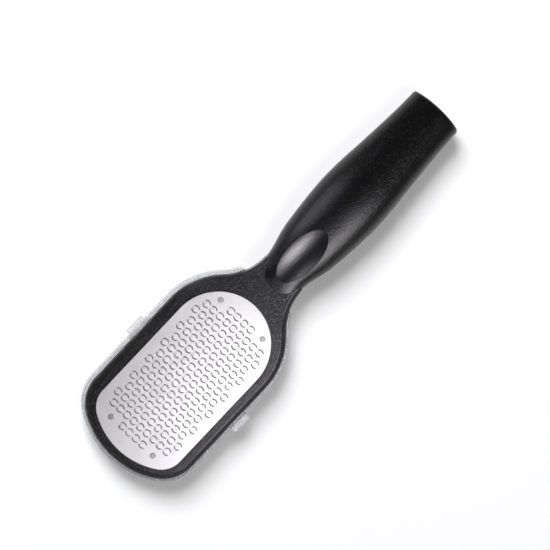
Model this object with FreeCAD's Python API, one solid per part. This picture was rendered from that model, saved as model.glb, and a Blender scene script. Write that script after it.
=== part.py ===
import FreeCAD, Part
import math
import os

# Foot file: a steel rasp plate riveted into a black paddle frame, with a soft grip on the frame's
# tang and a frosted tray clipped under the head to catch the filings.
# Millimetres. X runs along the file from the tip of the head to the butt of the grip, Y runs across
# it and Z is up, with the rasp face on top. The origin is on the table, under the middle of the file.

Vector = FreeCAD.Vector

# Rasp plate
plate_length = 95.4
plate_width = 50.9
plate_thickness = 0.5
plate_corner_radius = 12.0
plate_tip_bulge = 3.8
plate_gap = 0.3

# Teeth: a raised bridge between two arc slots, in staggered columns across the plate
tooth_column_pitch = 5.43
tooth_row_pitch = 4.39
tooth_radius = 1.72
tooth_slot_width = 0.45
tooth_slot_angle = 120.0
tooth_rise = 0.2
tooth_edge_margin = 4.7
tooth_rivet_margin = 4.5

# Plate rivets
rivet_spacing_x = 77.2
rivet_spacing_y = 27.8
rivet_head_diameter = 2.9
rivet_head_height = 0.1
rivet_shank_diameter = 2.0
rivet_tail_diameter = 3.4
rivet_tail_height = 0.8
rivet_clearance = 0.05
ear_diameter = 7.2

# Head frame
side_border = 5.6
tip_border = 3.9
corner_radius = 18.5
tip_bulge = 3.5
frame_height = 12.0
bevel_run = 2.0
bevel_drop = 1.7
bevel_edge_radius = 1.0
skirt_wall = 2.2
ledge_width = 3.0
ledge_thickness = 2.5

# Neck
shoulder_radius = 36.0
throat_radius = 30.0
neck_width = 23.5
neck_under_bevel = 3.0

# Tang inside the grip
tang_width = 14.0
tang_thickness = 7.0
tang_length = 95.0
tang_root = 6.0
tang_slot_length = 14.0
tang_slot_width = 5.0
tang_slot_pitch = 20.0
tang_slot_count = 3
tang_slot_end = 12.0

# Soft grip, measured from the narrowest place of the neck and from the frame's top and bottom
grip_length = 108.6
grip_lip = 0.3
grip_belly_distance = 49.2
grip_belly_width = 35.5
grip_belly_rise = 6.5
grip_belly_drop = 4.7
grip_tail_width = 28.7
grip_tail_rise = 4.0
grip_tail_drop = 2.2
grip_front_squareness = 3.0
grip_belly_squareness = 2.3
grip_tail_ease = 0.8
grip_butt_radius = 80.0
grip_butt_edge_radius = 1.5

# Thumb rest: a dished oval inlay in the grip
thumb_length = 32.4
thumb_width = 15.4
thumb_distance = 11.6
thumb_joint = 0.1
thumb_dish_distance = 5.2
thumb_dish_rise = 0.0
thumb_dish_length_radius = 50.0
thumb_dish_width_radius = 15.5

# Dust tray
tray_floor = 1.6
tray_wall = 1.6
tray_clearance = 0.4
tray_depth = 5.0
tray_edge_radius = 2.5
bowl_inset = 1.4
collar_height = 7.0
collar_drop = 2.0
collar_edge_radius = 0.5
tray_end_distance = 12.0

# Release latches of the tray
latch_offset = 1.6
latch_width = 10.8
latch_slot = 1.1
latch_root_rise = 0.3
latch_hinge_clearance = 0.05
tab_reach = 3.0
tab_thickness = 1.2
tab_taper = 0.35
tab_corner_radius = 0.8
tab_edge_radius = 0.4
key_width = 8.0
key_height = 1.8
key_reach = 1.0
key_below_rim = 1.6
key_clearance = 0.3
key_lift = 0.6

# Levels above the table
seat_level = tray_depth
frame_top = seat_level + frame_height
plate_bottom = frame_top - plate_thickness
ledge_bottom = plate_bottom - ledge_thickness
rim_level = seat_level + collar_height
mid_level = seat_level + frame_height / 2

# Places along and across the file, measured from the tip of the frame
plate_tip_x = tip_border + plate_gap
plate_end_x = plate_tip_x + plate_length
plate_mid_x = (plate_tip_x + plate_end_x) / 2
plate_round_x = plate_end_x - plate_width / 2
head_half = plate_width / 2 + plate_gap + side_border
neck_half = neck_width / 2
neck_drop = head_half - neck_half
blend_radius = shoulder_radius + throat_radius
neck_x = plate_round_x + math.sqrt(2 * blend_radius * neck_drop - neck_drop**2)
nose_radius = neck_half - bevel_run
nose_tip_x = neck_x - nose_radius
belly_x = neck_x + grip_belly_distance
butt_x = neck_x + grip_length
tray_end_x = neck_x - tray_end_distance
tang_top = mid_level + tang_thickness / 2
collar_reach = tray_clearance + tray_wall
latch_x = plate_mid_x + latch_offset
origin_x = (butt_x - collar_reach) / 2

# Construction
cut_margin = 1.0
pick_margin = 0.05
grip_stations = 4
grip_section_points = 24


def mirrored(point):
    """The same point on the other side of the file."""
    return Vector(point.x, -point.y, point.z)


def line(start, end):
    return Part.LineSegment(start, end).toShape()


def arc(centre, start, end):
    """The shorter arc about a centre."""
    middle = (start - centre) + (end - centre)
    middle.normalize()
    return Part.Arc(start, centre + middle * (start - centre).Length, end).toShape()


def both_sides(edges_of):
    """Edges of the +Y side and their mirror images."""
    flip = [[mirrored(point) for point in points] for _, points in edges_of]
    near = [make(*points) for make, points in edges_of]
    far = [make(*points) for (make, _), points in zip(edges_of, flip)]
    return near + far


def bowed_end(tip_x, half_width, radius, bulge, offset):
    """A slightly bowed tip with two round corners: its edges and the point where the side starts."""
    reach = radius + bulge
    corner = Vector(tip_x + reach, half_width - radius, 0)
    bow_radius = (reach**2 + corner.y**2 - radius**2) / (2 * bulge)
    bow = Vector(tip_x + bow_radius, 0, 0)
    outward = corner - bow
    outward.normalize()
    join = bow + outward * (bow_radius + offset)
    side = Vector(corner.x, half_width + offset, 0)
    tip = Part.Arc(mirrored(join), Vector(tip_x - offset, 0, 0), join).toShape()
    corners = both_sides([(arc, (corner, join, side))])
    return [tip] + corners, side


def plate_wire(offset):
    """Outline of the rasp plate, moved outwards by an offset."""
    edges, side = bowed_end(plate_tip_x, plate_width / 2, plate_corner_radius, plate_tip_bulge, offset)
    turn = Vector(plate_round_x, plate_width / 2 + offset, 0)
    edges += both_sides([(line, (side, turn))])
    edges.append(Part.Arc(turn, Vector(plate_end_x + offset, 0, 0), mirrored(turn)).toShape())
    return Part.Wire(Part.__sortEdges__(edges))


def paddle_wire(offset):
    """Outline of the head and neck as far as the grip, moved outwards by an offset."""
    edges, side = bowed_end(0, head_half, corner_radius, tip_bulge, offset)
    shoulder = Vector(plate_round_x, head_half - shoulder_radius, 0)
    throat = Vector(neck_x, neck_half + throat_radius, 0)
    turn = Vector(plate_round_x, head_half + offset, 0)
    outward = throat - shoulder
    outward.normalize()
    swing = shoulder + outward * (shoulder_radius + offset)
    neck = Vector(neck_x, neck_half + offset, 0)
    edges += both_sides([
        (line, (side, turn)),
        (arc, (shoulder, turn, swing)),
        (arc, (throat, swing, neck)),
    ])
    edges.append(line(neck, mirrored(neck)))
    return Part.Wire(Part.__sortEdges__(edges))


def prism(wire, low, high):
    """A flat outline raised between two levels."""
    face = Part.Face(wire)
    face.translate(Vector(0, 0, low))
    return face.extrude(Vector(0, 0, high - low))


def frustum(low_wire, low, high_wire, high):
    """A solid with straight sides between two outlines at two levels."""
    low_wire.translate(Vector(0, 0, low))
    high_wire.translate(Vector(0, 0, high))
    return Part.makeLoft([low_wire, high_wire], True, True)


def block(x0, x1, y0, y1, z0, z1):
    return Part.makeBox(x1 - x0, y1 - y0, z1 - z0, Vector(x0, y0, z0))


def post(x, y, radius, low, high):
    return Part.makeCylinder(radius, high - low, Vector(x, y, low))


def before(x):
    """All the room on the tip side of a place along the file."""
    span = butt_x + head_half
    return block(-span, x, -span, span, -span, span)


def rim_edges(shape, level):
    """Edges of a head-shaped solid that run round it at a level, without the straight one at its end."""
    flat = [edge for edge in shape.Edges if edge.BoundBox.ZMin > level - pick_margin]
    flat = [edge for edge in flat if edge.BoundBox.ZMax < level + pick_margin]
    end_x = shape.BoundBox.XMax - pick_margin
    return [edge for edge in flat if edge.BoundBox.XMin < end_x]


def joined(shapes):
    return shapes[0].fuse(shapes[1:]).removeSplitter()


def rivet_places():
    """The four rivet centres."""
    for side_x in (-1, 1):
        for side_y in (-1, 1):
            yield Vector(plate_mid_x + side_x * rivet_spacing_x / 2, side_y * rivet_spacing_y / 2, 0)


def tooth_places():
    """Tooth centres on the staggered grid that stay clear of the plate's edge and of the rivets."""
    field = Part.Face(plate_wire(-tooth_edge_margin))
    columns = math.ceil(plate_length / tooth_column_pitch / 2)
    rows = math.ceil(plate_width / tooth_row_pitch / 2) + 1
    rivets = list(rivet_places())
    for column in range(-columns, columns + 1):
        shift = (column % 2) / 2
        for row in range(-rows, rows + 1):
            y = (row + shift) * tooth_row_pitch
            place = Vector(plate_mid_x + column * tooth_column_pitch, y, 0)
            clear = all((place - rivet).Length >= tooth_rivet_margin for rivet in rivets)
            if clear and field.isInside(place, pick_margin, True):
                yield place


def slot_wire(centre, facing):
    """An arc slot on one side of a tooth."""
    half = math.radians(tooth_slot_angle / 2)
    inner = tooth_radius - tooth_slot_width / 2
    outer = tooth_radius + tooth_slot_width / 2

    def at(radius, angle):
        return centre + Vector(facing * radius * math.cos(angle), radius * math.sin(angle), 0)

    return Part.Wire([
        Part.Arc(at(inner, -half), at(inner, 0), at(inner, half)).toShape(),
        line(at(inner, half), at(outer, half)),
        Part.Arc(at(outer, half), at(outer, 0), at(outer, -half)).toShape(),
        line(at(outer, -half), at(inner, -half)),
    ])


def tooth_bridge():
    """The raised bridge of a tooth at the origin: an arch across the file, round in plan."""
    half = tooth_radius - tooth_slot_width / 2
    foot = Vector(-half, -half, 0)
    crown = Vector(-half, 0, tooth_rise)
    profile = Part.Wire([Part.Arc(foot, crown, mirrored(foot)).toShape(), line(mirrored(foot), foot)])
    arch = Part.Face(profile).extrude(Vector(2 * half, 0, 0))
    return arch.common(post(0, 0, half, 0, 2 * tooth_rise))


def rasp_plate():
    """Steel sheet with two-way teeth and four rivet holes."""
    places = list(tooth_places())
    holes = [slot_wire(place, facing) for place in places for facing in (-1, 1)]
    hole_radius = rivet_shank_diameter / 2 + rivet_clearance
    holes += [Part.Wire(Part.makeCircle(hole_radius, place)) for place in rivet_places()]
    sheet = Part.makeFace([plate_wire(0)] + holes, "Part::FaceMakerCheese")
    sheet.translate(Vector(0, 0, plate_bottom))
    solid = sheet.extrude(Vector(0, 0, plate_thickness))
    bridge = tooth_bridge()
    bridge.translate(Vector(0, 0, frame_top))
    return solid.fuse([bridge.translated(place) for place in places])


def plate_rivets():
    """Four rivets: low head on the plate, shank through the ear and a clinched tail below it."""
    rivets = []
    for place in rivet_places():
        shank_low = ledge_bottom - rivet_tail_height
        rivets.append(joined([
            post(place.x, place.y, rivet_shank_diameter / 2, shank_low, frame_top + rivet_head_height),
            post(place.x, place.y, rivet_head_diameter / 2, frame_top, frame_top + rivet_head_height),
            post(place.x, place.y, rivet_tail_diameter / 2, shank_low, ledge_bottom),
        ]))
    return Part.makeCompound(rivets)


def nose_room():
    """The room taken by the grip: a round nose reaching into the neck, and everything behind it."""
    low = -cut_margin
    high = frame_top + grip_belly_rise + cut_margin
    behind = block(neck_x, butt_x + cut_margin, -head_half, head_half, low, high)
    return joined([post(neck_x, 0, nose_radius, low, high), behind])


def frame_blank():
    """The outside of the head and neck: upright skirt, bevelled top edge, softened neck underside."""
    bevel_level = frame_top - bevel_drop
    skirt = prism(paddle_wire(0), seat_level, bevel_level)
    top = frustum(paddle_wire(0), bevel_level, paddle_wire(-bevel_run), frame_top)
    top = top.makeFillet(bevel_edge_radius, rim_edges(top, frame_top))
    blank = joined([skirt, top])
    soft_under = frustum(
        paddle_wire(-neck_under_bevel), seat_level, paddle_wire(0), seat_level + neck_under_bevel
    )
    under = prism(paddle_wire(0), seat_level, seat_level + neck_under_bevel).cut(soft_under)
    return blank.cut(under.cut(before(tray_end_x + tray_clearance)))


def tang():
    """Flat bar inside the grip, with a round end and slots that the grip's material fills."""
    end_x = neck_x + tang_length
    low = tang_top - tang_thickness
    half = tang_width / 2
    bar = block(nose_tip_x - tang_root, end_x - half, -half, half, low, tang_top)
    bar = joined([bar, post(end_x - half, 0, half, low, tang_top)])
    slot_half = tang_slot_width / 2
    slot_run = tang_slot_length - tang_slot_width
    for index in range(tang_slot_count):
        slot_x = end_x - tang_slot_end - slot_half - index * tang_slot_pitch
        slot = joined([
            block(slot_x - slot_run, slot_x, -slot_half, slot_half, low, tang_top),
            post(slot_x, 0, slot_half, low, tang_top),
            post(slot_x - slot_run, 0, slot_half, low, tang_top),
        ])
        bar = bar.cut(slot)
    return bar


def key_channel(side):
    """The upright groove in the skirt that guides a latch's key, open at the bottom."""
    half = key_width / 2 + key_clearance
    top = rim_level - key_below_rim + key_lift
    floor_y = head_half + tray_clearance - key_reach - key_clearance
    edges = sorted((side * floor_y, side * (head_half + cut_margin)))
    return block(latch_x - half, latch_x + half, edges[0], edges[1], seat_level, top)


def frame_core():
    """One black moulding: the head frame with its plate seat and rivet ears, the neck and the tang."""
    blank = frame_blank()
    hollow = prism(paddle_wire(-skirt_wall), seat_level, ledge_bottom).common(before(plate_end_x))
    pocket = prism(plate_wire(plate_gap), plate_bottom, frame_top)
    ears = [post(p.x, p.y, ear_diameter / 2, ledge_bottom, plate_bottom) for p in rivet_places()]
    window = prism(plate_wire(-ledge_width), ledge_bottom, plate_bottom).cut(ears)
    shank_hole = rivet_shank_diameter / 2 + rivet_clearance
    holes = [post(p.x, p.y, shank_hole, ledge_bottom, plate_bottom) for p in rivet_places()]
    channels = [key_channel(side) for side in (-1, 1)]
    head = blank.cut([hollow, pocket, window] + holes + channels + [nose_room()])
    return joined([head, tang()])


def ease_out(share):
    return 1 - (1 - share)**2


def ease_tail(share):
    """A slow start and a slow end, with the start drawn forward."""
    eased = share**grip_tail_ease
    return eased**2 * (3 - 2 * eased)


def blended(start, end, share):
    return start + (end - start) * share


def stations(start, end):
    """Places of the cross-sections after a start, up to an end."""
    return [blended(start, end, (index + 1) / grip_stations) for index in range(grip_stations)]


def grip_section(x):
    """One cross-section of the grip: a squared oval that swells to the belly and thins to the butt."""
    if x < neck_x:
        half = neck_half + throat_radius - math.sqrt(throat_radius**2 - (neck_x - x)**2)
    elif x < belly_x:
        half = blended(neck_half, grip_belly_width / 2, ease_out((x - neck_x) / grip_belly_distance))
    else:
        half = blended(grip_belly_width, grip_tail_width, ease_tail((x - belly_x) / (butt_x - belly_x))) / 2
    if x < belly_x:
        share = ease_out((x - nose_tip_x) / (belly_x - nose_tip_x))
        rise = blended(grip_lip, grip_belly_rise, share)
        drop = blended(0, grip_belly_drop, share)
        squareness = blended(grip_front_squareness, grip_belly_squareness, share)
    else:
        share = ease_tail((x - belly_x) / (butt_x - belly_x))
        rise = blended(grip_belly_rise, grip_tail_rise, share)
        drop = blended(grip_belly_drop, grip_tail_drop, share)
        squareness = grip_belly_squareness
    points = []
    for step in range(grip_section_points):
        angle = 2 * math.pi * step / grip_section_points
        across = math.copysign(abs(math.cos(angle))**(2 / squareness), math.cos(angle))
        upward = math.copysign(abs(math.sin(angle))**(2 / squareness), math.sin(angle))
        height = frame_height / 2 + (rise if upward > 0 else drop)
        points.append(Vector(x, half * across, mid_level + height * upward))
    curve = Part.BSplineCurve()
    curve.interpolate(points, PeriodicFlag=True)
    return Part.Wire(curve.toShape())


def butt_wire():
    """Outline that trims the grip's end to a gentle bow, with plenty of room at its sides."""
    room = head_half
    corner_x = butt_x - grip_butt_radius + math.sqrt(grip_butt_radius**2 - room**2)
    corner = Vector(corner_x, room, 0)
    start = Vector(0, room, 0)
    return Part.Wire([
        Part.Arc(mirrored(corner), Vector(butt_x, 0, 0), corner).toShape(),
        line(corner, start),
        line(start, mirrored(start)),
        line(mirrored(start), mirrored(corner)),
    ])


def grip_outside():
    """The grip's outer form, from inside the neck to the softly edged butt."""
    start_x = nose_tip_x - cut_margin
    front = [start_x, (start_x + neck_x) / 2, neck_x]
    belly = stations(neck_x, belly_x)
    tail = stations(belly_x, butt_x)
    sections = [grip_section(x) for x in front + belly + tail]
    past_butt = grip_section(butt_x)
    past_butt.translate(Vector(2 * cut_margin, 0, 0))
    body = Part.makeLoft(sections + [past_butt], True, False)
    trim = prism(butt_wire(), -grip_belly_drop, frame_top + grip_belly_rise + cut_margin)
    body = body.common(trim)
    butt = max(body.Faces, key=lambda face: face.CenterOfMass.x)
    return body.makeFillet(grip_butt_edge_radius, butt.Edges)


def thumb_oval(inset):
    """Upright oval column for the thumb rest and its window."""
    centre = Vector(neck_x + thumb_distance, 0, 0)
    oval = Part.Ellipse(centre, thumb_length / 2 - inset, thumb_width / 2 - inset)
    wire = Part.Wire(oval.toShape())
    return prism(wire, tang_top, frame_top + grip_belly_rise + cut_margin)


def thumb_scoop():
    """The rounded tool that leaves the thumb dish."""
    axis_level = frame_top + thumb_dish_rise + thumb_dish_length_radius
    centre = Vector(neck_x + thumb_dish_distance, 0, axis_level)
    ring_radius = thumb_dish_length_radius - thumb_dish_width_radius
    return Part.makeTorus(ring_radius, thumb_dish_width_radius, centre, Vector(0, 1, 0))


def grip_sleeve():
    """Soft over-moulding round the tang, with an oval window for the thumb rest."""
    return grip_outside().common(nose_room()).cut([tang(), thumb_oval(0)])


def thumb_rest():
    """Dished oval inlay that stands on the tang and fills the grip's window."""
    return thumb_oval(thumb_joint).common(grip_outside()).cut(thumb_scoop())


def latch_axis_y(side):
    """Middle of the collar's wall, where the latch bends."""
    return side * (head_half + tray_clearance + tray_wall / 2)


def latch_bead(side, radius, half_width):
    """Round root of a latch, along its bending line."""
    start = Vector(latch_x - half_width, latch_axis_y(side), seat_level + latch_root_rise)
    return Part.makeCylinder(radius, 2 * half_width, start, Vector(1, 0, 0))


def catcher_tray():
    """Frosted tray: a shallow bowl with a wider collar that the head drops into."""
    inside_end = before(tray_end_x - tray_wall)
    bowl_offset = collar_reach - bowl_inset
    bowl = prism(paddle_wire(bowl_offset), 0, seat_level).common(before(tray_end_x))
    bottom_edges = [edge for edge in bowl.Edges if edge.BoundBox.ZMax < tray_floor / 2]
    bowl = bowl.makeFillet(tray_edge_radius, bottom_edges)
    collar = prism(paddle_wire(collar_reach), seat_level - collar_drop, rim_level)
    collar = collar.cut(prism(paddle_wire(tray_clearance), seat_level, rim_level))
    collar = collar.makeFillet(collar_edge_radius, rim_edges(collar, rim_level)).common(before(tray_end_x))
    cuts = [prism(paddle_wire(bowl_offset - tray_wall), tray_floor, seat_level).common(inside_end)]
    half = latch_width / 2 + latch_slot
    for side in (-1, 1):
        edges = sorted((side * (head_half + tray_clearance), side * (head_half + collar_reach + cut_margin)))
        root_level = seat_level + latch_root_rise
        cuts.append(block(latch_x - half, latch_x + half, edges[0], edges[1], root_level, rim_level))
        cuts.append(latch_bead(side, tray_wall / 2 + latch_hinge_clearance, half))
    return joined([bowl, collar]).cut(cuts)


def release_latch(side):
    """Springy tongue of the tray: round root, upright wall, guide key inside and finger tab outside."""
    half = latch_width / 2
    inner = head_half + tray_clearance
    outer = inner + tray_wall
    root_level = seat_level + latch_root_rise
    wall = block(latch_x - half, latch_x + half, inner, outer, root_level, rim_level)
    key_top = rim_level - key_below_rim
    key_half = key_width / 2
    key = block(
        latch_x - key_half, latch_x + key_half, inner - key_reach, inner,
        key_top - key_height, key_top,
    )
    tip_half = half - tab_taper
    tab_outline = Part.makePolygon([
        Vector(latch_x - half, outer, rim_level),
        Vector(latch_x + half, outer, rim_level),
        Vector(latch_x + tip_half, outer + tab_reach, rim_level),
        Vector(latch_x - tip_half, outer + tab_reach, rim_level),
        Vector(latch_x - half, outer, rim_level),
    ])
    tab = Part.Face(tab_outline).extrude(Vector(0, 0, -tab_thickness))
    corners = [edge for edge in tab.Edges if edge.BoundBox.YMin > outer + tab_reach - tab_taper]
    corners = [edge for edge in corners if edge.BoundBox.ZLength > tab_thickness / 2]
    tab = tab.makeFillet(tab_corner_radius, corners)
    outer_edges = [edge for edge in tab.Edges if edge.BoundBox.YMax > outer + tab_edge_radius]
    outer_edges = [edge for edge in outer_edges if edge.BoundBox.ZMin > rim_level - tab_thickness / 2]
    tab = tab.makeFillet(tab_edge_radius, outer_edges)
    latch = joined([wall, key, tab, latch_bead(1, tray_wall / 2, half)])
    if side < 0:
        latch = latch.mirror(Vector(0, 0, 0), Vector(0, 1, 0))
    return latch


nodes = {
    "frame_core": frame_core(),
    "rasp_plate": rasp_plate(),
    "plate_rivets": plate_rivets(),
    "grip_sleeve": grip_sleeve(),
    "thumb_rest": thumb_rest(),
    "catcher_tray": catcher_tray(),
    "left_release_latch": release_latch(1),
    "right_release_latch": release_latch(-1),
}

os.makedirs("parts", exist_ok=True)
for name, shape in nodes.items():
    shape.translate(Vector(-origin_x, 0, 0))
    shape.exportStep(os.path.join("parts", name + ".step"))
    print(name, len(shape.Solids), "solids", round(shape.Volume, 1), "mm3", shape.isValid())
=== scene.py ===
"""Foot file on a pale table: finishes, rasp teeth, rivets, studio light and camera.

The rasp plate and its rivets are made anew with finer forms. All other pieces keep the shape of the
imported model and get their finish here. Metres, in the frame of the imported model: +X runs from the
head to the butt of the grip, and +Z points out of the rasp face.
"""

import logging
import math
from dataclasses import dataclass
from enum import Enum
from typing import Any, Callable, Iterator

import bmesh
import bpy
from mathutils import Matrix, Vector

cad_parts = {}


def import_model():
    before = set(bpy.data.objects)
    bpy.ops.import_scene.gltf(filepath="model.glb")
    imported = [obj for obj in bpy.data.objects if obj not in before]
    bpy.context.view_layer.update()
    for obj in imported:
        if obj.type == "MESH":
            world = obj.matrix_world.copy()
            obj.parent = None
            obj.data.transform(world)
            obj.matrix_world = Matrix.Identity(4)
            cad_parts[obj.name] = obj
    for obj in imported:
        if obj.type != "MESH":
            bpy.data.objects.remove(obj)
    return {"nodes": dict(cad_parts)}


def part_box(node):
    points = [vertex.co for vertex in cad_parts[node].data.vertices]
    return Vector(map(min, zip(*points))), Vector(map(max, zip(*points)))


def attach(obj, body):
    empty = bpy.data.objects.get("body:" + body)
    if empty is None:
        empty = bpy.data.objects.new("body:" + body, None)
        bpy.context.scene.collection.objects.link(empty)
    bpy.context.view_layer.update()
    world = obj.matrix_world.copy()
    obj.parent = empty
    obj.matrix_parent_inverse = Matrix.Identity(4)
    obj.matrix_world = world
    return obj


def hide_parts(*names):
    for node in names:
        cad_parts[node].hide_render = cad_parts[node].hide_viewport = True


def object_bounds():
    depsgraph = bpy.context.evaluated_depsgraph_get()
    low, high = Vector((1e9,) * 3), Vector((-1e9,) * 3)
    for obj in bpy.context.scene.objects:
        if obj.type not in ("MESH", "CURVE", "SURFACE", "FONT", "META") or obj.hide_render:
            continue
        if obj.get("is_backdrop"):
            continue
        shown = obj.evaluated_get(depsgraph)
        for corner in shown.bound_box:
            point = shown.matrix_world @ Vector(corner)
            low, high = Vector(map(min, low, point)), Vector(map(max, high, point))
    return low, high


log = logging.getLogger("foot_file")

Colour = tuple[float, float, float]
Place = tuple[float, float, float]

WHITE: Colour = (1.0, 1.0, 1.0)


class Node(Enum):
    """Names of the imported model's nodes."""

    FRAME = "frame_core"
    PLATE = "rasp_plate"
    RIVETS = "plate_rivets"
    GRIP = "grip_sleeve"
    THUMB = "thumb_rest"
    TRAY = "catcher_tray"
    LEFT_LATCH = "left_release_latch"
    RIGHT_LATCH = "right_release_latch"


class Slot(Enum):
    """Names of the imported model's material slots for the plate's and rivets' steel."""

    STEEL = "rasp_steel"
    RIVET = "rivet_steel"


class Reach(Enum):
    """What a lamp does: it lights surfaces, or only shows in their gloss as a card does."""

    LIGHT = "light"
    GLOSS = "gloss"


class NodeSheet:
    """A node tree that is filled in step by step."""

    def __init__(self, tree: bpy.types.NodeTree) -> None:
        """Takes the tree to fill in."""
        self.tree = tree

    def put(self, socket: bpy.types.NodeSocket, value: Any) -> None:
        """Links a socket to another one, or sets its value.

        Args:
            socket: The input to feed.
            value: An output socket or a plain value.
        """
        if isinstance(value, bpy.types.NodeSocket):
            self.tree.links.new(value, socket)
        else:
            socket.default_value = value

    def add(
        self, kind: str, values: dict[Any, Any] | None = None, **settings: Any
    ) -> bpy.types.Node:
        """Adds a node.

        Args:
            kind: The node's type name.
            values: Its inputs by name or number, each with a value or an output socket.
            settings: The node's own properties.

        Returns:
            The new node.
        """
        node = self.tree.nodes.new(kind)
        for name, value in settings.items():
            setattr(node, name, value)
        for name, value in (values or {}).items():
            self.put(node.inputs[name], value)
        return node

    def math(self, operation: str, *terms: Any) -> bpy.types.NodeSocket:
        """Adds a Math node.

        Args:
            operation: What the node does with its terms.
            terms: Values or output sockets.

        Returns:
            The result's socket.
        """
        node = self.add("ShaderNodeMath", dict(enumerate(terms)), operation=operation)
        return node.outputs[0]

    def ramp(
        self, value: Any, low: Any, high: Any, out_low: Any, out_high: Any
    ) -> bpy.types.NodeSocket:
        """Maps a value from one range to another, clamped at both ends.

        Args:
            value: What to map.
            low: Start of the range it comes from.
            high: End of the range it comes from.
            out_low: Result at the start.
            out_high: Result at the end.

        Returns:
            The result's socket.
        """
        values = {0: value, 1: low, 2: high, 3: out_low, 4: out_high}
        return self.add("ShaderNodeMapRange", values, clamp=True).outputs[0]

    def blend(self, share: Any, first: Any, second: Any) -> bpy.types.NodeSocket:
        """Mixes two colours.

        Args:
            share: How much of the second colour shows.
            first: Colour or socket at share 0.
            second: Colour or socket at share 1.

        Returns:
            The mixed colour's socket.
        """
        node = self.add("ShaderNodeMix", data_type="RGBA")
        self.put(node.inputs["Factor"], share)
        self.put(next(s for s in node.inputs if s.identifier == "A_Color"), first)
        self.put(next(s for s in node.inputs if s.identifier == "B_Color"), second)
        return next(s for s in node.outputs if s.identifier == "Result_Color")


def solid_colour(colour: Colour) -> tuple[float, float, float, float]:
    """The colour with full opacity, as Blender's sockets take it."""
    return (*colour, 1.0)


def effect_group(
    name: str, inputs: dict[str, float], outputs: list[str]
) -> tuple[bpy.types.NodeTree, NodeSheet, bpy.types.Node, bpy.types.Node]:
    """Starts a shader node group with number sockets.

    Args:
        name: The group's name.
        inputs: Input names with their defaults.
        outputs: Output names.

    Returns:
        The group, its sheet, and its input and output nodes.
    """
    group = bpy.data.node_groups.new(name, "ShaderNodeTree")
    for label, default in inputs.items():
        socket = group.interface.new_socket(label, in_out="INPUT", socket_type="NodeSocketFloat")
        socket.default_value = default
    for label in outputs:
        group.interface.new_socket(label, in_out="OUTPUT", socket_type="NodeSocketFloat")
    sheet = NodeSheet(group)
    return group, sheet, sheet.add("NodeGroupInput"), sheet.add("NodeGroupOutput")


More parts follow.
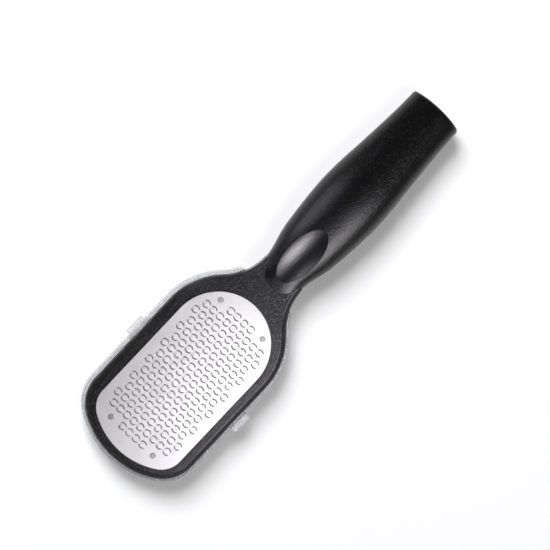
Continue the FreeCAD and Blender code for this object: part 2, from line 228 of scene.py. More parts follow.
class Effects:
    """Surface effects that several finishes share, each one a shader node group."""

    FINE_SCALE = 2.3
    PAINTED_GLINT_FADE = 0.08
    MARK_SPAN = (0.35, 0.65)
    MARK_DISTORTION = 0.6
    STEEL_SPAN = (0.3, 0.7)

    def __init__(self) -> None:
        """Builds the groups once."""
        self.grain = self._grain()
        self.handling = self._handling()
        self.brushing = self._brushing()

    def _grain(self) -> bpy.types.NodeTree:
        """Spark-eroded mould grain: rounded pits of two sizes, and a mask of painted glints on the
        highest points.

        Returns:
            A group with a height between 0 and 1 and a mask of painted glints on the grain's peaks.
        """
        sizes = {"Grain Size": 0.0008, "Fine Share": 0.4, "Painted Glint Level": 0.62}
        group, sheet, given, result = effect_group("mould_grain", sizes, ["Height", "Painted Glints"])
        where = sheet.add("ShaderNodeTexCoord").outputs["Object"]
        coarse_scale = sheet.math("DIVIDE", 1.0, given.outputs["Grain Size"])
        fine_scale = sheet.math("MULTIPLY", coarse_scale, self.FINE_SCALE)
        coarse = sheet.add("ShaderNodeTexNoise", {
            "Vector": where, "Scale": coarse_scale, "Detail": 1.0,
        })
        fine = sheet.add("ShaderNodeTexNoise", {
            "Vector": where, "Scale": fine_scale, "Detail": 2.0,
        })
        part = sheet.math("MULTIPLY", fine.outputs[0], given.outputs["Fine Share"])
        rest = sheet.math("SUBTRACT", 1.0, given.outputs["Fine Share"])
        height = sheet.math("MULTIPLY_ADD", coarse.outputs[0], rest, part)
        # Painted glints: the highest points of the grain, where finishes put a lighter colour in
        # place of sparkle.
        top = sheet.math("ADD", given.outputs["Painted Glint Level"], self.PAINTED_GLINT_FADE)
        painted_glints = sheet.ramp(height, given.outputs["Painted Glint Level"], top, 0.0, 1.0)
        sheet.put(result.inputs["Height"], height)
        sheet.put(result.inputs["Painted Glints"], painted_glints)
        return group

    def _handling(self) -> bpy.types.NodeTree:
        """Soft cloudy marks that hands leave on a surface.

        Returns:
            A group with a mask between 0 and 1.
        """
        group, sheet, given, result = effect_group("handling_marks", {"Mark Size": 0.02}, ["Marks"])
        where = sheet.add("ShaderNodeTexCoord").outputs["Object"]
        scale = sheet.math("DIVIDE", 1.0, given.outputs["Mark Size"])
        cloud = sheet.add("ShaderNodeTexNoise", {
            "Vector": where, "Scale": scale, "Detail": 4.0, "Distortion": self.MARK_DISTORTION,
        })
        sheet.put(result.inputs["Marks"], sheet.ramp(cloud.outputs[0], *self.MARK_SPAN, 0.0, 1.0))
        return group

    def _brushing(self) -> bpy.types.NodeTree:
        """Rolling lines along the file and a fine etch between them.

        Returns:
            A group with a mask of lines and a mask of etch, both between 0 and 1.
        """
        sizes = {"Line Width": 0.0002, "Line Length": 0.012, "Etch Size": 0.0005}
        group, sheet, given, result = effect_group("rolled_steel", sizes, ["Lines", "Etch"])
        where = sheet.add("ShaderNodeTexCoord").outputs["Object"]
        along = sheet.math("DIVIDE", 1.0, given.outputs["Line Length"])
        across = sheet.math("DIVIDE", 1.0, given.outputs["Line Width"])
        scales = sheet.add("ShaderNodeCombineXYZ", {"X": along, "Y": across, "Z": across})
        terms = {0: where, 1: scales.outputs[0]}
        stretched = sheet.add("ShaderNodeVectorMath", terms, operation="MULTIPLY")
        lines = sheet.add("ShaderNodeTexNoise", {
            "Vector": stretched.outputs[0], "Scale": 1.0, "Detail": 2.0,
        })
        etch_scale = sheet.math("DIVIDE", 1.0, given.outputs["Etch Size"])
        etch = sheet.add("ShaderNodeTexNoise", {
            "Vector": where, "Scale": etch_scale, "Detail": 3.0,
        })
        sheet.put(result.inputs["Lines"], sheet.ramp(lines.outputs[0], *self.STEEL_SPAN, 0.0, 1.0))
        sheet.put(result.inputs["Etch"], sheet.ramp(etch.outputs[0], *self.STEEL_SPAN, 0.0, 1.0))
        return group


def new_finish(name: str) -> tuple[bpy.types.Material, NodeSheet, bpy.types.Node]:
    """Starts a material with one Principled shader.

    Args:
        name: The material's name.

    Returns:
        The material, its sheet and the shader node.
    """
    material = bpy.data.materials.new(name)
    material.use_nodes = True
    sheet = NodeSheet(material.node_tree)
    shader = material.node_tree.nodes["Principled BSDF"]
    return material, sheet, shader


@dataclass(frozen=True)
class MouldedBlack:
    """Black plastic or rubber with a mould grain, and painted glints: a lighter colour on the grain's
    peaks in place of sparkling highlights.
    """

    name: str
    colour: Colour
    # Lighter colour painted on the grain's peaks as glints.
    painted_glint_colour: Colour
    grain_size: float
    grain_depth: float
    fine_share: float
    painted_glint_level: float
    roughness: tuple[float, float]
    specular: float
    mark_size: float = 0.022

    def build(self, effects: Effects) -> bpy.types.Material:
        """Makes the material.

        Args:
            effects: The shared surface effects.

        Returns:
            The material.
        """
        material, sheet, shader = new_finish(self.name)
        grain = sheet.add("ShaderNodeGroup", node_tree=effects.grain)
        grain.inputs["Grain Size"].default_value = self.grain_size
        grain.inputs["Fine Share"].default_value = self.fine_share
        grain.inputs["Painted Glint Level"].default_value = self.painted_glint_level
        marks = sheet.add("ShaderNodeGroup", node_tree=effects.handling)
        marks.inputs["Mark Size"].default_value = self.mark_size
        # Painted glints: the grain's peaks take the lighter colour, standing in for sparkling
        # highlights.
        colour = sheet.blend(
            grain.outputs["Painted Glints"], solid_colour(self.colour), solid_colour(self.painted_glint_colour)
        )
        rough = sheet.ramp(marks.outputs["Marks"], 0.0, 1.0, *self.roughness)
        relief = {"Distance": self.grain_depth, "Height": grain.outputs["Height"]}
        bump = sheet.add("ShaderNodeBump", relief)
        sheet.put(shader.inputs["Base Color"], colour)
        sheet.put(shader.inputs["Roughness"], rough)
        sheet.put(shader.inputs["Normal"], bump.outputs["Normal"])
        shader.inputs["Specular IOR Level"].default_value = self.specular
        return material


@dataclass(frozen=True)
class SatinSteel:
    """Rolled and lightly etched steel."""

    name: str
    colour: Colour
    dull_colour: Colour
    roughness: tuple[float, float]
    etch_depth: float

    def build(self, effects: Effects) -> bpy.types.Material:
        """Makes the material.

        Args:
            effects: The shared surface effects.

        Returns:
            The material.
        """
        material, sheet, shader = new_finish(self.name)
        rolled = sheet.add("ShaderNodeGroup", node_tree=effects.brushing)
        marks = sheet.add("ShaderNodeGroup", node_tree=effects.handling)
        worn = sheet.math("MULTIPLY", marks.outputs["Marks"], rolled.outputs["Etch"])
        colour = sheet.blend(worn, solid_colour(self.colour), solid_colour(self.dull_colour))
        rough = sheet.ramp(rolled.outputs["Lines"], 0.0, 1.0, *self.roughness)
        relief = {"Distance": self.etch_depth, "Height": rolled.outputs["Etch"]}
        bump = sheet.add("ShaderNodeBump", relief)
        sheet.put(shader.inputs["Base Color"], colour)
        sheet.put(shader.inputs["Roughness"], rough)
        sheet.put(shader.inputs["Normal"], bump.outputs["Normal"])
        shader.inputs["Metallic"].default_value = 1.0
        return material


@dataclass(frozen=True)
class FrostedPlastic:
    """Milky see-through plastic with a fine frosted surface."""

    name: str
    colour: Colour
    scuff_colour: Colour
    roughness: tuple[float, float]
    transmission: float
    frost_size: float
    frost_depth: float
    refraction: float = 1.58

    def build(self, effects: Effects) -> bpy.types.Material:
        """Makes the material.

        Args:
            effects: The shared surface effects.

        Returns:
            The material.
        """
        material, sheet, shader = new_finish(self.name)
        frost = sheet.add("ShaderNodeGroup", node_tree=effects.grain)
        frost.inputs["Grain Size"].default_value = self.frost_size
        marks = sheet.add("ShaderNodeGroup", node_tree=effects.handling)
        colour = sheet.blend(
            marks.outputs["Marks"], solid_colour(self.colour), solid_colour(self.scuff_colour)
        )
        rough = sheet.ramp(marks.outputs["Marks"], 0.0, 1.0, *self.roughness)
        relief = {"Distance": self.frost_depth, "Height": frost.outputs["Height"]}
        bump = sheet.add("ShaderNodeBump", relief)
        sheet.put(shader.inputs["Base Color"], colour)
        sheet.put(shader.inputs["Roughness"], rough)
        sheet.put(shader.inputs["Normal"], bump.outputs["Normal"])
        shader.inputs["Transmission Weight"].default_value = self.transmission
        shader.inputs["IOR"].default_value = self.refraction
        return material


def convert(source: bpy.types.Object, name: str) -> bpy.types.Object:
    """Turns an object and its live modifiers into a new plain mesh object, and removes the source.

    Args:
        source: The object to convert.
        name: The new object's name.

    Returns:
        The new object, in the scene.
    """
    graph = bpy.context.evaluated_depsgraph_get()
    mesh = bpy.data.meshes.new_from_object(source.evaluated_get(graph))
    bpy.data.objects.remove(source)
    piece = bpy.data.objects.new(name, mesh)
    bpy.context.scene.collection.objects.link(piece)
    return piece


def crisp_smooth(piece: bpy.types.Object, angle: float) -> None:
    """Shades a piece smooth, except over edges that are sharper than an angle.

    Args:
        piece: The object to shade.
        angle: Largest angle, in radians, that stays smooth.
    """
    piece.data.shade_smooth()
    piece.data.set_sharp_from_angle(angle=angle)


def run_tree(
    tree: bpy.types.NodeTree, base: bpy.types.Object, values: dict[str, Any], name: str
) -> bpy.types.Object:
    """Runs a geometry node tree on a base object.

    Args:
        tree: The tree, with named inputs.
        base: The object that carries the input geometry.
        values: Inputs by name.
        name: The resulting object's name.

    Returns:
        A plain mesh object.
    """
    modifier = base.modifiers.new(name, "NODES")
    modifier.node_group = tree
    for item in tree.interface.items_tree:
        if item.in_out == "INPUT" and item.name in values:
            modifier[item.identifier] = values[item.name]
    bpy.context.view_layer.update()
    return convert(base, name)


def shape_tree(
    name: str, sizes: list[str], place: str
) -> tuple[bpy.types.NodeTree, NodeSheet, bpy.types.Node, Callable[[bpy.types.NodeSocket], None]]:
    """Starts a geometry node tree whose result is moved to a place and gets a material.

    Args:
        name: The tree's name.
        sizes: Names of its length inputs.
        place: Name of the input that moves the result.

    Returns:
        The tree, its sheet, its input node, and a function that takes the finished geometry.
    """
    tree = bpy.data.node_groups.new(name, "GeometryNodeTree")
    tree.interface.new_socket("Geometry", in_out="INPUT", socket_type="NodeSocketGeometry")
    for label in sizes:
        tree.interface.new_socket(label, in_out="INPUT", socket_type="NodeSocketFloat")
    tree.interface.new_socket(place, in_out="INPUT", socket_type="NodeSocketVector")
    tree.interface.new_socket("Material", in_out="INPUT", socket_type="NodeSocketMaterial")
    tree.interface.new_socket("Geometry", in_out="OUTPUT", socket_type="NodeSocketGeometry")
    sheet = NodeSheet(tree)
    given = sheet.add("NodeGroupInput")

    def close(geometry: bpy.types.NodeSocket) -> None:
        """Moves the geometry, makes it real, gives it its material and puts it out."""
        moved = sheet.add("GeometryNodeTransform", {
            "Geometry": geometry, "Translation": given.outputs[place],
        })
        real = sheet.add("GeometryNodeRealizeInstances", {"Geometry": moved.outputs[0]})
        dressed = sheet.add("GeometryNodeSetMaterial", {
            "Geometry": real.outputs[0], "Material": given.outputs["Material"],
        })
        sheet.add("NodeGroupOutput", {"Geometry": dressed.outputs[0]})

    return tree, sheet, given, close


def join(sheet: NodeSheet, *parts: bpy.types.NodeSocket) -> bpy.types.NodeSocket:
    """Joins geometries.

    Args:
        sheet: The tree's sheet.
        parts: The geometries' sockets.

    Returns:
        The joined geometry.
    """
    node = sheet.add("GeometryNodeJoinGeometry")
    for part in parts:
        sheet.put(node.inputs[0], part)
    return node.outputs[0]


def weld(
    sheet: NodeSheet, geometry: bpy.types.NodeSocket, distance: float
) -> bpy.types.NodeSocket:
    """Merges points that lie close together.

    Args:
        sheet: The tree's sheet.
        geometry: The geometry's socket.
        distance: Largest distance to merge over.

    Returns:
        The merged geometry.
    """
    values = {"Geometry": geometry, "Distance": distance}
    return sheet.add("GeometryNodeMergeByDistance", values).outputs[0]


ARC_STEP = math.radians(3)


def arc_points(centre: Vector, radius: float, start: float, end: float) -> Iterator[Vector]:
    """Points along a flat arc, without its last one.

    Args:
        centre: The arc's centre.
        radius: Its radius.
        start: Start angle in radians.
        end: End angle in radians.

    Yields:
        Points about one arc step apart.
    """
    steps = max(2, math.ceil(abs(end - start) / ARC_STEP))
    for step in range(steps):
        angle = start + (end - start) * step / steps
        yield centre + radius * Vector((math.cos(angle), math.sin(angle), 0))


@dataclass
class RaspPlate:
    """The steel sheet with its two-way teeth, and the four rivets that hold it."""

    thickness: float = 0.0005
    corner_radius: float = 0.012
    tip_bulge: float = 0.0038
    column_pitch: float = 0.00543
    row_pitch: float = 0.00439
    tooth_radius: float = 0.00172
    slot_width: float = 0.00058
    tooth_rise: float = 0.00008
    collar_radius: float = 0.0021
    edge_margin: float = 0.0047
    rivet_margin: float = 0.0045
    rivet_spacing_x: float = 0.0772
    rivet_spacing_y: float = 0.0278
    rivet_head_radius: float = 0.00145
    rivet_head_height: float = 0.0001
    rivet_shank_radius: float = 0.001
    rivet_tail_radius: float = 0.0017
    rivet_tail_height: float = 0.0008

    TOOTH_STEPS = 18
    TOOTH_RINGS = 6
    CROWN_END = 0.6
    CROWN_LIMIT = 0.7
    SLOT_END = 0.8
    FLAT_CROWN = 0.6
    SLOT_CORE = 0.6
    SLOT_HALF_ANGLE = math.pi / 3
    TOOTH_WELD = 1e-6
    SHEET_WELD = 1e-5
    TOOTH_MARK = "tooth_place"
    PLATE_EDGE_ANGLE = math.radians(38)
    RIVET_EDGE_ANGLE = math.radians(40)
    RIVET_SIDES = 32
    HEAD_CURVE = ((0.0, 1.0), (0.55, 1.0), (0.85, 0.85), (0.97, 0.5), (1.0, 0.0))
    TAIL_ROUND = 0.3
    TAIL_FLAT = 0.85

    def __post_init__(self) -> None:
        """Takes the plate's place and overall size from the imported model."""
        low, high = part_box(Node.PLATE.value)
        self.length = high.x - low.x
        self.half_width = (high.y - low.y) / 2
        self.middle = Vector(((low.x + high.x) / 2, 0, 0))
        self.top = low.z + self.thickness

    def outline(self) -> list[Vector]:
        """Corner points of the plate's outline, about its middle.

        Returns:
            Points in order round the plate.
        """
        tip = -self.length / 2
        reach = self.corner_radius + self.tip_bulge
        corner = Vector((tip + reach, self.half_width - self.corner_radius, 0))
        bow_radius = (reach**2 + corner.y**2 - self.corner_radius**2) / (2 * self.tip_bulge)
        bow = Vector((tip + bow_radius, 0, 0))
        swing = math.atan2(corner.y, corner.x - bow.x)
        round_end = Vector((self.length / 2 - self.half_width, 0, 0))
        low_corner = Vector((corner.x, -corner.y, 0))
        points = list(arc_points(round_end, self.half_width, -math.pi / 2, math.pi / 2))
        points.append(Vector((round_end.x, self.half_width, 0)))
        points += arc_points(corner, self.corner_radius, math.pi / 2, swing)
        points += arc_points(bow, bow_radius, swing, 2 * math.pi - swing)
        points += arc_points(low_corner, self.corner_radius, 2 * math.pi - swing, 3 * math.pi / 2)
        points.append(Vector((corner.x, -self.half_width, 0)))
        return points

    def rivet_places(self) -> list[Vector]:
        """Centres of the four rivets, about the plate's middle."""
        half_x, half_y = self.rivet_spacing_x / 2, self.rivet_spacing_y / 2
        return [Vector((x, y, 0)) for x in (-half_x, half_x) for y in (-half_y, half_y)]

    def tooth_places(self) -> list[Vector]:
        """Tooth centres on the staggered grid, clear of the plate's edge and of the rivets.

        Returns:
            Points about the plate's middle.
        """
        rim = self.outline()
        rivets = self.rivet_places()
        columns = math.ceil(self.length / self.column_pitch / 2)
        rows = math.ceil(self.half_width / self.row_pitch) + 1
        places = []
        for column in range(-columns, columns + 1):
            for row in range(-rows, rows + 1):
                y = (row + (column % 2) / 2) * self.row_pitch
                place = Vector((column * self.column_pitch, y, 0))
                nearest = min((place - rivet).length for rivet in rivets)
                if nearest >= self.rivet_margin and inset(place, rim) >= self.edge_margin:
                    places.append(place)
        return places

    def base(self) -> bpy.types.Object:
        """An object with the plate's outline as a loop and the tooth places as loose points.

        Returns:
            The object, in the scene.
        """
        rim = self.outline()
        places = self.tooth_places()
        loop = [(index, (index + 1) % len(rim)) for index in range(len(rim))]
        mesh = bpy.data.meshes.new("plate_base")
        mesh.from_pydata(rim + places, loop, [])
        mark = mesh.attributes.new(self.TOOTH_MARK, "BOOLEAN", "POINT")
        mark.data.foreach_set("value", [False] * len(rim) + [True] * len(places))
        log.info("rasp plate: %d teeth", len(places))
        holder = bpy.data.objects.new("plate_base", mesh)
        bpy.context.scene.collection.objects.link(holder)
        return holder

    def tooth_nodes(self, sheet: NodeSheet, given: bpy.types.Node) -> bpy.types.NodeSocket:
        """One tooth and the ring of sheet round it: an arch between two arc slots.

        Args:
            sheet: The tree's sheet.
            given: The tree's input node.

        Returns:
            The tooth's geometry.
        """
        half_slot = sheet.math("MULTIPLY", given.outputs["Slot Width"], 0.5)
        inner = sheet.math("SUBTRACT", given.outputs["Tooth Radius"], half_slot)
        outer = sheet.math("ADD", given.outputs["Tooth Radius"], half_slot)
        ring = sheet.math("SUBTRACT", given.outputs["Collar Radius"], outer)
        web = sheet.add("GeometryNodeMeshGrid", {
            "Size X": 1.0, "Size Y": 1.0,
            "Vertices X": self.TOOTH_STEPS + 1, "Vertices Y": self.TOOTH_RINGS,
        })
        on_web = sheet.add("GeometryNodeInputPosition").outputs[0]
        flat = sheet.add("ShaderNodeSeparateXYZ", {0: on_web})
        angle = sheet.math("MULTIPLY", flat.outputs["X"], 2 * math.pi)
        depth = sheet.math("ADD", flat.outputs["Y"], 0.5)
        crown = sheet.ramp(depth, 0.0, self.CROWN_END, 0.0, inner)
        slot = sheet.ramp(depth, self.CROWN_END, self.SLOT_END, 0.0, given.outputs["Slot Width"])
        rim = sheet.ramp(depth, self.SLOT_END, 1.0, 0.0, ring)
        radius = sheet.math("ADD", sheet.math("ADD", crown, slot), rim)
        x = sheet.math("MULTIPLY", radius, sheet.math("COSINE", angle))
        y = sheet.math("MULTIPLY", radius, sheet.math("SINE", angle))
        foot = sheet.math("MINIMUM", sheet.math("DIVIDE", sheet.math("ABSOLUTE", y), inner), 1.0)
        arch = sheet.ramp(foot, self.FLAT_CROWN, 1.0, 1.0, 0.0)
        on_crown = sheet.math("LESS_THAN", depth, self.CROWN_LIMIT)
        lift = sheet.math("MULTIPLY", arch, on_crown)
        z = sheet.math("MULTIPLY", lift, given.outputs["Tooth Rise"])
        bent = sheet.add("GeometryNodeSetPosition", {
            "Geometry": web.outputs["Mesh"],
            "Position": sheet.add("ShaderNodeCombineXYZ", {"X": x, "Y": y, "Z": z}).outputs[0],
        })
        closed = weld(sheet, bent.outputs[0], self.TOOTH_WELD)
        on_tooth = sheet.add("GeometryNodeInputPosition").outputs[0]
        spot = sheet.add("ShaderNodeSeparateXYZ", {0: on_tooth})
        across = sheet.math("ABSOLUTE", spot.outputs["Y"])
        squares = sheet.math("MULTIPLY", spot.outputs["X"], spot.outputs["X"])
        squares = sheet.math("MULTIPLY_ADD", spot.outputs["Y"], spot.outputs["Y"], squares)
        distance = sheet.math("SQRT", squares)
        from_slot = sheet.math("SUBTRACT", distance, given.outputs["Tooth Radius"])
        off_slot = sheet.math("ABSOLUTE", from_slot)
        slot_core = sheet.math("MULTIPLY", half_slot, self.SLOT_CORE)
        in_slot = sheet.math("LESS_THAN", off_slot, slot_core)
        slope = sheet.math("DIVIDE", across, distance)
        facing = sheet.math("LESS_THAN", slope, math.sin(self.SLOT_HALF_ANGLE))
        pierced = sheet.add("GeometryNodeDeleteGeometry", {
            "Geometry": closed,
            "Selection": sheet.math("MULTIPLY", in_slot, facing),
        }, domain="FACE")
        return sheet.add("GeometryNodeFlipFaces", {0: pierced.outputs[0]}).outputs[0]

    def plate_tree(self) -> bpy.types.NodeTree:
        """The tree that fills the outline, sets a tooth at each place and thickens the sheet.

        Returns:
            The geometry node tree.
        """
        sizes = ["Tooth Radius", "Slot Width", "Tooth Rise", "Collar Radius", "Thickness"]
        tree, sheet, given, close = shape_tree("rasp_plate_teeth", sizes, "Middle")
        mark = sheet.add(
            "GeometryNodeInputNamedAttribute", {"Name": self.TOOTH_MARK}, data_type="BOOLEAN"
        )
        split = sheet.add("GeometryNodeSeparateGeometry", {
            "Geometry": given.outputs["Geometry"], "Selection": mark.outputs["Attribute"],
        })
        ring = sheet.add("GeometryNodeCurvePrimitiveCircle", {
            "Resolution": self.TOOTH_STEPS, "Radius": given.outputs["Collar Radius"],
        })
        places = split.outputs["Selection"]
        rings = sheet.add("GeometryNodeInstanceOnPoints", {
            "Points": places, "Instance": ring.outputs[0],
        })
        real_rings = sheet.add("GeometryNodeRealizeInstances", {"Geometry": rings.outputs[0]})
        rim = sheet.add("GeometryNodeMeshToCurve", {"Mesh": split.outputs["Inverted"]})
        curves = join(sheet, rim.outputs[0], real_rings.outputs[0])
        blank = sheet.add("GeometryNodeFillCurve", {"Curve": curves})
        teeth = sheet.add("GeometryNodeInstanceOnPoints", {
            "Points": places, "Instance": self.tooth_nodes(sheet, given),
        })
        real_teeth = sheet.add("GeometryNodeRealizeInstances", {"Geometry": teeth.outputs[0]})
        both = join(sheet, blank.outputs[0], real_teeth.outputs[0])
        skin = weld(sheet, both, self.SHEET_WELD)
        thick = sheet.add("GeometryNodeExtrudeMesh", {
            "Mesh": skin, "Offset": (0.0, 0.0, 1.0),
            "Offset Scale": given.outputs["Thickness"], "Individual": False,
        })
        under = sheet.add("GeometryNodeFlipFaces", {0: skin})
        shell = join(sheet, thick.outputs["Mesh"], under.outputs[0])
        close(weld(sheet, shell, self.TOOTH_WELD))
        return tree

    def build_plate(self, steel: bpy.types.Material) -> bpy.types.Object:
        """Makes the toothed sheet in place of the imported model's plate.

        Args:
            steel: The sheet's finish.

        Returns:
            The sheet.
        """
        values = {
            "Tooth Radius": self.tooth_radius, "Slot Width": self.slot_width,
            "Tooth Rise": self.tooth_rise, "Collar Radius": self.collar_radius,
            "Thickness": self.thickness, "Material": steel,
            "Middle": self.middle + Vector((0, 0, self.top - self.thickness)),
        }
        plate = run_tree(self.plate_tree(), self.base(), values, "toothed_plate")
        crisp_smooth(plate, self.PLATE_EDGE_ANGLE)
        return plate

    def rivet_profile(self) -> list[tuple[float, float]]:
        """Radius and level of a rivet from the crown of its head to the end of its tail.

        Returns:
            Pairs of radius and height over the plate's top.
        """
        head, rise = self.rivet_head_radius, self.rivet_head_height
        shank, tail = self.rivet_shank_radius, self.rivet_tail_radius
        low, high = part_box(Node.RIVETS.value)
        tail_low = low.z + rise - high.z
        tail_top = tail_low + self.rivet_tail_height
        tail_bend = tail_low + self.TAIL_ROUND * self.rivet_tail_height
        return [
            *((out * head, up * rise) for out, up in self.HEAD_CURVE),
            (shank, 0.0), (shank, tail_top), (tail, tail_top), (tail, tail_bend),
            (self.TAIL_FLAT * tail, tail_low), (0.0, tail_low),
        ]

    def rivet_tree(self) -> bpy.types.NodeTree:
        """The tree that sets a rivet at each corner of a rectangle.

        Returns:
            The geometry node tree.
        """
        tree, sheet, given, close = shape_tree("plate_rivets", ["Spacing X", "Spacing Y"], "Middle")
        corners = sheet.add("GeometryNodeMeshGrid", {
            "Size X": given.outputs["Spacing X"], "Size Y": given.outputs["Spacing Y"],
            "Vertices X": 2, "Vertices Y": 2,
        })
        rivets = sheet.add("GeometryNodeInstanceOnPoints", {
            "Points": corners.outputs["Mesh"], "Instance": given.outputs["Geometry"],
        })
        close(rivets.outputs[0])
        return tree

    def build_rivets(self, steel: bpy.types.Material) -> bpy.types.Object:
        """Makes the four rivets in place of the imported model's.

        Args:
            steel: The rivets' finish.

        Returns:
            The rivets, as one object.
        """
        values = {
            "Spacing X": self.rivet_spacing_x, "Spacing Y": self.rivet_spacing_y,
            "Material": steel, "Middle": self.middle + Vector((0, 0, self.top)),
        }
        one = turned("one_rivet", self.rivet_profile(), self.RIVET_SIDES)
        rivets = run_tree(self.rivet_tree(), one, values, "domed_rivets")
        crisp_smooth(rivets, self.RIVET_EDGE_ANGLE)
        return rivets


def inset(place: Vector, rim: list[Vector]) -> float:
    """How far a point lies inside a convex outline.

    Args:
        place: The point.
        rim: The outline's points, counter-clockwise.

    Returns:
        The smallest distance to the outline's edges, negative outside.
    """
    gaps = []
    for start, end in zip(rim, rim[1:] + rim[:1]):
        along = end - start
        if along.length > 0:
            offset = place - start
            gaps.append((along.x * offset.y - along.y * offset.x) / along.length)
    return min(gaps)


def turned(name: str, profile: list[tuple[float, float]], steps: int) -> bpy.types.Object:
    """A closed solid of revolution about Z.

    Args:
        name: The object's name.
        profile: Pairs of radius and height, with radius 0 at both ends.
        steps: Number of sides.

    Returns:
        The object, in the scene.
    """
    shape = bmesh.new()
    rings = []
    for radius, height in profile:
        count = steps if radius > 0 else 1
        turns = [2 * math.pi * step / steps for step in range(count)]
        spots = [(radius * math.cos(t), radius * math.sin(t), height) for t in turns]
        rings.append([shape.verts.new(spot) for spot in spots])
    for upper, lower in zip(rings, rings[1:]):
        for step in range(steps):
            ahead = (step + 1) % steps
            corners = [upper[step % len(upper)], lower[step % len(lower)]]
            corners += [lower[ahead % len(lower)], upper[ahead % len(upper)]]
            shape.faces.new(list(dict.fromkeys(corners)))
    bmesh.ops.recalc_face_normals(shape, faces=shape.faces)
    mesh = bpy.data.meshes.new(name)
    shape.to_mesh(mesh)
    shape.free()
    piece = bpy.data.objects.new(name, mesh)
    bpy.context.scene.collection.objects.link(piece)
    return piece


@dataclass
class FileBody:
    """The file itself: frame, rasp plate with its rivets, grip and thumb rest."""

    frame_finish: MouldedBlack
    grip_finish: MouldedBlack
    thumb_finish: MouldedBlack
    plate_finish: SatinSteel
    rivet_finish: SatinSteel

    def build(self, nodes: dict[str, bpy.types.Object], effects: Effects) -> None:
        """Dresses the moulded pieces and makes the plate and rivets anew.

        Args:
            nodes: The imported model's objects by name.
            effects: The shared surface effects.
        """
        dress(nodes[Node.FRAME.value], self.frame_finish.build(effects))
        dress(nodes[Node.GRIP.value], self.grip_finish.build(effects))
        dress(nodes[Node.THUMB.value], self.thumb_finish.build(effects))
        rasp = RaspPlate()
        plate = rasp.build_plate(self.plate_finish.build(effects))
        settle(plate, Node.PLATE)
        rivets = rasp.build_rivets(self.rivet_finish.build(effects))
        settle(rivets, Node.RIVETS)


@dataclass
class DustTray:
    """The tray under the head and its two latches."""

    finish: FrostedPlastic

    def build(self, nodes: dict[str, bpy.types.Object], effects: Effects) -> None:
        """Dresses the tray and its latches alike.

        Args:
            nodes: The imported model's objects by name.
            effects: The shared surface effects.
        """
        frosted = self.finish.build(effects)
        for node in (Node.TRAY, Node.LEFT_LATCH, Node.RIGHT_LATCH):
            dress(nodes[node.value], frosted)


def dress(piece: bpy.types.Object, material: bpy.types.Material) -> None:
    """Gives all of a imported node's slots one material.

    Args:
        piece: The node's object.
        material: Its finish.
    """
    for slot in piece.material_slots:
        slot.material = material
    log.info("%s: %s", piece.name, material.name)


def settle(piece: bpy.types.Object, node: Node) -> None:
    """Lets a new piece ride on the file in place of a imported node.

    Args:
        piece: The new piece.
        node: The node that it stands for.
    """
    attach(piece, "file")
    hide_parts(node.value)
    log.info("%s: %d faces, for %s", piece.name, len(piece.data.polygons), node.value)


@dataclass(frozen=True)
class Softbox:
    """A rectangular studio lamp that looks at a point on the table."""

    name: str
    place: Place
    aim: Place
    width: float
    height: float
    radiance: float
    colour: Colour
    reach: Reach

    def build(self) -> None:
        """Makes the lamp, with its power worked out from its radiance."""
        data = bpy.data.lights.new(self.name, "AREA")
        data.shape = "RECTANGLE"
        data.size = self.width
        data.size_y = self.height
        data.energy = self.radiance * math.pi * self.width * self.height
        data.color = self.colour
        lamp = bpy.data.objects.new(self.name, data)
        lamp.location = self.place
        look = Vector(self.aim) - Vector(self.place)
        lamp.rotation_euler = look.to_track_quat("-Z", "Y").to_euler()
        lamp.visible_camera = False
        lamp.visible_diffuse = self.reach is Reach.LIGHT
        lamp.visible_transmission = self.reach is Reach.LIGHT
        lamp.visible_glossy = self.reach is Reach.GLOSS
        bpy.context.scene.collection.objects.link(lamp)


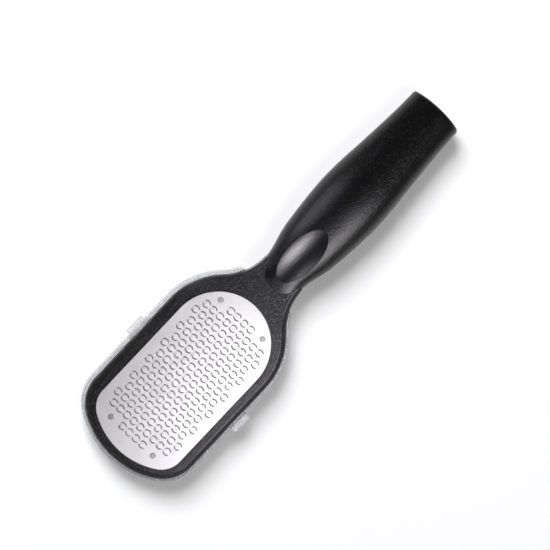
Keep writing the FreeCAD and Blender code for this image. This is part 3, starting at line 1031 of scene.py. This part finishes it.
@dataclass
class Studio:
    """Table, lamps, surroundings and camera."""

    lamps: list[Softbox]
    table_colour: Colour = (0.86, 0.86, 0.86)
    table_glow: float = 0.13
    table_half: float = 12.0
    table_roughness: float = 0.9
    horizon_light: float = 0.36
    zenith_light: float = 0.04
    horizon_top: float = 0.1
    zenith_start: float = 0.55
    camera_distance: float = 1.7
    sight_level: float = 0.014
    picture_width: float = 0.2653
    camera_turn: float = -46.7
    camera_lean: float = 7.0
    camera_aim: tuple[float, float] = (0.0033, 0.0027)
    sensor_width: float = 36.0
    far_clip: float = 100.0

    def build(self, floor_level: float) -> None:
        """Builds everything round the file.

        Args:
            floor_level: Level of the table's top.
        """
        self.build_table(floor_level)
        self.build_world()
        for lamp in self.lamps:
            lamp.build()
            log.info("lamp %s", lamp.name)
        self.build_camera()

    def build_table(self, level: float) -> None:
        """A wide pale table that shows white where no shadow lies.

        Args:
            level: Level of its top.
        """
        half = self.table_half
        mesh = bpy.data.meshes.new("table")
        signs = ((-1, -1), (1, -1), (1, 1), (-1, 1))
        mesh.from_pydata([(x * half, y * half, level) for x, y in signs], [], [(0, 1, 2, 3)])
        table = bpy.data.objects.new("table", mesh)
        bpy.context.scene.collection.objects.link(table)
        material, sheet, shader = new_finish("table_paper")
        shader.inputs["Base Color"].default_value = solid_colour(self.table_colour)
        shader.inputs["Roughness"].default_value = self.table_roughness
        shader.inputs["Specular IOR Level"].default_value = 0.0
        path = sheet.add("ShaderNodeLightPath")
        seen = sheet.math("MAXIMUM", path.outputs["Is Camera Ray"], path.outputs["Is Glossy Ray"])
        seen = sheet.math("MAXIMUM", seen, path.outputs["Is Transmission Ray"])
        shader.inputs["Emission Color"].default_value = solid_colour(WHITE)
        glow = sheet.math("MULTIPLY", seen, self.table_glow)
        sheet.put(shader.inputs["Emission Strength"], glow)
        mesh.materials.append(material)
        table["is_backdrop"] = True

    def build_world(self) -> None:
        """Soft surroundings that are brightest along the horizon."""
        world = bpy.data.worlds.new("studio")
        world.use_nodes = True
        bpy.context.scene.world = world
        sheet = NodeSheet(world.node_tree)
        where = sheet.add("ShaderNodeTexCoord").outputs["Generated"]
        level = sheet.add("ShaderNodeSeparateXYZ", {0: where}).outputs["Z"]
        span = (self.horizon_top, self.zenith_start)
        strength = sheet.ramp(level, *span, self.horizon_light, self.zenith_light)
        sky = world.node_tree.nodes["Background"]
        sheet.put(sky.inputs["Strength"], strength)
        sky.inputs["Color"].default_value = solid_colour(WHITE)

    def build_camera(self) -> None:
        """A long lens above the file, leaning a little to its left side."""
        data = bpy.data.cameras.new("camera")
        data.sensor_fit = "HORIZONTAL"
        data.sensor_width = self.sensor_width
        data.lens = self.sensor_width * self.camera_distance / self.picture_width
        data.clip_end = self.far_clip
        camera = bpy.data.objects.new("camera", data)
        lean = Matrix.Rotation(math.radians(-self.camera_lean), 3, "X")
        turn = Matrix.Rotation(math.radians(self.camera_turn), 3, "Z")
        sight = Vector((*self.camera_aim, self.sight_level))
        camera.location = sight + lean @ Vector((0, 0, self.camera_distance))
        camera.rotation_euler = (lean @ turn).to_euler()
        bpy.context.scene.collection.objects.link(camera)
        bpy.context.scene.camera = camera


# The lighter speck colours below are painted glints on the grain's peaks.
FRAME_FINISH = MouldedBlack(
    name="grained_black_plastic",
    colour=(0.002, 0.002, 0.0023), painted_glint_colour=(0.05, 0.0485, 0.0525),
    grain_size=0.0008, grain_depth=0.00022, fine_share=0.3, painted_glint_level=0.56,
    roughness=(0.28, 0.31), specular=0.43,
)
GRIP_FINISH = MouldedBlack(
    name="soft_black_rubber",
    colour=(0.002, 0.002, 0.0023), painted_glint_colour=(0.028, 0.027, 0.0295),
    grain_size=0.0008, grain_depth=0.00018, fine_share=0.3, painted_glint_level=0.6,
    roughness=(0.28, 0.31), specular=0.4,
)
THUMB_FINISH = MouldedBlack(
    name="fine_grain_black_plastic",
    colour=(0.004, 0.004, 0.0045), painted_glint_colour=(0.016, 0.0155, 0.0168),
    grain_size=0.0007, grain_depth=0.00014, fine_share=0.3, painted_glint_level=0.6,
    roughness=(0.28, 0.31), specular=0.8,
)
PLATE_FINISH = SatinSteel(
    name="satin_steel", colour=(0.69, 0.68, 0.69), dull_colour=(0.58, 0.57, 0.59),
    roughness=(0.44, 0.54), etch_depth=0.00003,
)
RIVET_FINISH = SatinSteel(
    name="dull_rivet_steel", colour=(0.36, 0.35, 0.36), dull_colour=(0.26, 0.26, 0.27),
    roughness=(0.45, 0.55), etch_depth=0.00002,
)
TRAY_FINISH = FrostedPlastic(
    name="frosted_clear_plastic", colour=(0.9, 0.9, 0.92), scuff_colour=(0.87, 0.87, 0.89),
    roughness=(0.25, 0.27), transmission=0.74, frost_size=0.0006, frost_depth=0.0001,
)
LAMPS = [
    Softbox(
        name="key", place=(0.58, 1.28, 1.6), aim=(0.0, 0.0, 0.0), width=1.06, height=1.06,
        radiance=15.5, colour=(0.98, 0.98, 1.0), reach=Reach.LIGHT,
    ),
    Softbox(
        name="fill", place=(-0.1, -0.9, 1.7), aim=(-0.05, 0.0, 0.0), width=1.0, height=1.0,
        radiance=2.4, colour=WHITE, reach=Reach.LIGHT,
    ),
    Softbox(
        name="front_card", place=(-0.04, -0.147, 0.216), aim=(-0.04, 0.0, 0.014),
        width=0.16, height=0.134, radiance=10.4, colour=(0.99, 0.955, 1.0), reach=Reach.GLOSS,
    ),
    Softbox(
        name="head_card", place=(-0.045, -0.075, 0.14), aim=(-0.045, -0.075, 0.0),
        width=0.14, height=0.08, radiance=0.35, colour=(1.0, 0.98, 1.0), reach=Reach.GLOSS,
    ),
    Softbox(
        name="side_card", place=(0.025, 0.112, 0.118), aim=(0.025, 0.0, 0.014),
        width=0.06, height=0.11, radiance=3.4, colour=(0.95, 0.93, 1.0), reach=Reach.GLOSS,
    ),
]


def main() -> None:
    """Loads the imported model, dresses it piece by piece and sets it in the studio."""
    logging.basicConfig(level=logging.INFO, format="%(name)s: %(message)s")
    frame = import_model()
    cad_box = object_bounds()
    bpy.context.scene.view_settings.view_transform = "Standard"
    effects = Effects()
    body = FileBody(FRAME_FINISH, GRIP_FINISH, THUMB_FINISH, PLATE_FINISH, RIVET_FINISH)
    body.build(frame["nodes"], effects)
    DustTray(TRAY_FINISH).build(frame["nodes"], effects)
    Studio(LAMPS).build(floor_level=cad_box[0][2])


if __name__ == "__main__":
    main()
